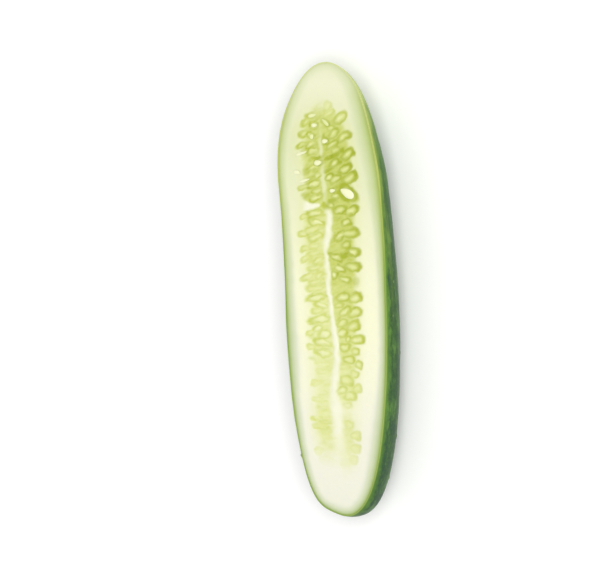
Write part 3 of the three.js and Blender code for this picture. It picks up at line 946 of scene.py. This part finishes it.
# Cut cucumber flesh: wet cells with a thin film of juice. Light goes some way in, so it looks
# soft, and the gel and seeds show through it in greener and paler patches.
flesh, tree = new_material("wet_cut_cucumber_flesh")
place = add_node(tree, "TexCoord", out="Object")
place_along = add_node(tree, "SeparateXYZ", {"Vector": place}, out="Y")
towards_blossom = add_node(
    tree, "MapRange", {"Value": place_along, "From Min": box_low.y, "From Max": box_high.y},
)
wall_colour = add_node(
    tree, "ValToRGB", {"Fac": towards_blossom},
    stops=[
        (0.0, "#dbdbcb"), (1.0, "#d9dbba"), (0.06, "#e0dfd0"), (0.2, "#e2e1cf"), (0.3, "#e5e5cc"),
        (0.42, "#e7e7c8"), (0.55, "#e4e5c5"), (0.66, "#dddfbb"), (0.76, "#d6dab2"),
        (0.84, "#d2d6aa"), (0.9, "#d9dbb8"), (0.95, "#dedfc1"),
    ],
)
marks = {}
for label in ("rim_zone", "greenness", "halo", "gel", "depth", "sac_wall", "sac_seed", "core_line"):
    marks[label] = add_node(tree, "Attribute", attribute_name=label, out="Fac")
cells = add_node(
    tree, "TexNoise", {"Vector": place, "Scale": 1 / (0.8 * MM), "Detail": 4, "Roughness": 0.6},
)
cell_amount = add_node(
    tree, "MapRange", {"Value": cells, "From Min": 0.45, "From Max": 0.75, "To Max": 0.14},
)
gel_uneven = add_node(
    tree, "MapRange",
    {"Value": cells, "From Min": 0.3, "From Max": 0.7, "To Min": 0.86, "To Max": 1.08},
)
gel_amount = add_node(
    tree, "Math", {0: marks["gel"], 1: gel_uneven}, operation="MULTIPLY", use_clamp=True,
)
gel_colour = add_node(
    tree, "ValToRGB", {"Fac": marks["depth"]},
    stops=[(0.0, "#d2d789"), (1.0, "#b7c058"), (0.4, "#c9cf77")],
)
sac_wall_colour = add_node(
    tree, "ValToRGB", {"Fac": marks["depth"]},
    stops=[(0.0, "#c1ca67"), (1.0, "#9ca829"), (0.5, "#b1bb47")],
)
sac_seed_colour = add_node(
    tree, "ValToRGB", {"Fac": marks["depth"]}, stops=[(0.0, "#dee0b0"), (1.0, "#d7db9a")],
)
rim_ramps = []
for stops in (
    [
        (0.0, "#dddccb"), (1.0, "#88a04e"), (0.24, "#d8dac6"), (0.36, "#d3d6c0"),
        (0.6, "#c7ceae"), (0.8, "#b4c094"), (0.93, "#9fb26d"),
    ],
    [
        (0.0, "#dbddbd"), (1.0, "#96a850"), (0.24, "#d6dab8"), (0.36, "#cfd5ad"),
        (0.6, "#c4cd9e"), (0.8, "#b5c283"), (0.93, "#a3b463"),
    ],
):
    rim_ramps.append(add_node(tree, "ValToRGB", {"Fac": marks["rim_zone"]}, stops=stops))
upper_half = add_node(
    tree, "MapRange", {"Value": towards_blossom, "From Min": 0.35, "From Max": 0.7},
)
rim_colour = add_node(
    tree, "Mix", {"Factor": upper_half, MIX_UNDER: rim_ramps[0], MIX_OVER: rim_ramps[1]},
    data_type="RGBA", out=MIX_RESULT,
)
rim_fade = add_node(
    tree, "MapRange", {"Value": marks["rim_zone"], "From Min": 0, "From Max": 0.55},
    interpolation_type="SMOOTHSTEP",
)
rim_amount = add_node(tree, "Math", {0: rim_fade, 1: marks["greenness"]}, operation="MULTIPLY")
halo_amount = add_node(tree, "Math", {0: marks["halo"], 1: 0.55}, operation="MULTIPLY")
shade = wall_colour
for amount, over in (
    (cell_amount, linear("#d1d5b3")),
    (halo_amount, linear("#d7daa3")),
    (rim_amount, rim_colour),
    (gel_amount, gel_colour),
    (marks["sac_wall"], sac_wall_colour),
    (marks["sac_seed"], sac_seed_colour),
    (marks["core_line"], linear("#e4e4cd")),
):
    shade = add_node(
        tree, "Mix", {"Factor": amount, MIX_UNDER: shade, MIX_OVER: over},
        data_type="RGBA", out=MIX_RESULT,
    )
knife_lines = add_node(
    tree, "TexWave",
    {"Vector": place, "Scale": 1 / (9 * MM), "Distortion": 2.5, "Detail": 2, "Detail Scale": 1.5},
    bands_direction="DIAGONAL", out="Fac",
)
cut_bump = add_node(tree, "Bump", {"Height": knife_lines, "Strength": 0.15, "Distance": 0.05 * MM})
cell_bump = add_node(
    tree, "Bump", {"Height": cells, "Strength": 0.35, "Distance": 0.1 * MM, "Normal": cut_bump},
)
juice = add_node(
    tree, "MapRange",
    {"Value": marks["gel"], "From Min": 0, "From Max": 1, "To Min": 0.42, "To Max": 0.26},
)
surface = add_node(
    tree, "BsdfPrincipled",
    {
        "Base Color": shade, "Roughness": juice, "IOR": 1.36, "Normal": cell_bump,
        "Subsurface Weight": 0.3, "Subsurface Scale": 2.5 * MM, "Subsurface Radius": (1.0, 1.0, 0.6),
    },
)
add_node(tree, "OutputMaterial", {"Surface": surface})

face_values = {
    "rim_zone": rim_zone, "greenness": greenness, "halo": halo, "gel": gel, "depth": depth,
    "sac_wall": wall, "sac_seed": sac_seed, "core_line": core_line,
}
add_piece(
    "flesh", flesh_points, flesh_quads, flesh,
    {label: over_face(value) for label, value in face_values.items()},
)


# ---- Bare seeds --------------------------------------------------------------------------
# Seeds that the knife shaved clean or tipped out of their sacs. Each is a flat ivory
# teardrop, about 1.3 mm thick, that lies half sunk in the gel.

SEED_ROWS, SEED_SIDES = 25, 20
SEED_THICKNESS = 0.3  # of its width
SEED_SUNK = 0.16 * MM


def seed_shape(length, width, tilt, x, y):
    """A flat teardrop: a rounded half width along the seed that leans to one end, carried round a
    flattened circle, turned by the tilt and laid at its place."""
    along_seed = 0.5 - 0.5 * np.cos(np.linspace(0, np.pi, SEED_ROWS))[:, None]
    around = np.linspace(0, 2 * np.pi, SEED_SIDES + 1)
    swell = np.sqrt(np.maximum(4 * along_seed * (1 - along_seed), 0))
    swell = swell * (1.12 - 0.5 * along_seed**1.6)
    lengthwise = (along_seed - 0.5) * length + 0 * around
    crosswise = swell * width / 2 * np.cos(around)
    up = swell * width * SEED_THICKNESS / 2 * np.sin(around)
    cosine, sine = np.cos(np.radians(tilt)), np.sin(np.radians(tilt))
    return np.stack([
        (x + lengthwise * cosine - crosswise * sine) * MM,
        (y + lengthwise * sine + crosswise * cosine) * MM,
        up * MM - SEED_SUNK,
    ], axis=-1)


# Ivory seed coat: a smooth wet shell, a little green where it is thin.
seed_coat, tree = new_material("ivory_seed_coat")
place = add_node(tree, "TexCoord", out="Object")
grain = add_node(tree, "TexNoise", {"Vector": place, "Scale": 1 / (1.1 * MM), "Detail": 3})
clean = add_node(tree, "Attribute", attribute_name="clean", out="Fac")
ivory = add_node(
    tree, "ValToRGB", {"Fac": clean}, stops=[(0.0, "#d2d98f"), (1.0, "#e9e9c4"), (0.5, "#e1e4b4")],
)
seed_bump = add_node(tree, "Bump", {"Height": grain, "Strength": 0.1, "Distance": 0.05 * MM})
surface = add_node(
    tree, "BsdfPrincipled",
    {
        "Base Color": ivory, "Roughness": 0.3, "IOR": 1.42, "Normal": seed_bump,
        "Subsurface Weight": 0.25, "Subsurface Scale": 1 * MM, "Subsurface Radius": (1.0, 0.95, 0.6),
    },
)
add_node(tree, "OutputMaterial", {"Surface": surface})

seed_points = np.stack([
    seed_shape(length, width, tilt, x, y) for x, y, length, width, tilt, _ in BARE_SEEDS
])
clean_share = np.array([seed[5] for seed in BARE_SEEDS])[:, None, None]
seed_step = np.linspace(0, 1, SEED_ROWS)[:, None]
clean_values = clean_share * (1 - 0.5 * smooth_step(seed_step, 0.3, 1)) + np.zeros(SEED_SIDES + 1)
seed_size = SEED_ROWS * (SEED_SIDES + 1)
seed_quads = np.concatenate([
    grid_quads(SEED_ROWS, SEED_SIDES + 1, number * seed_size) for number in range(len(BARE_SEEDS))
])
add_piece(
    "bare_seeds", seed_points, seed_quads, seed_coat,
    {"clean": clean_values[..., None]},
)
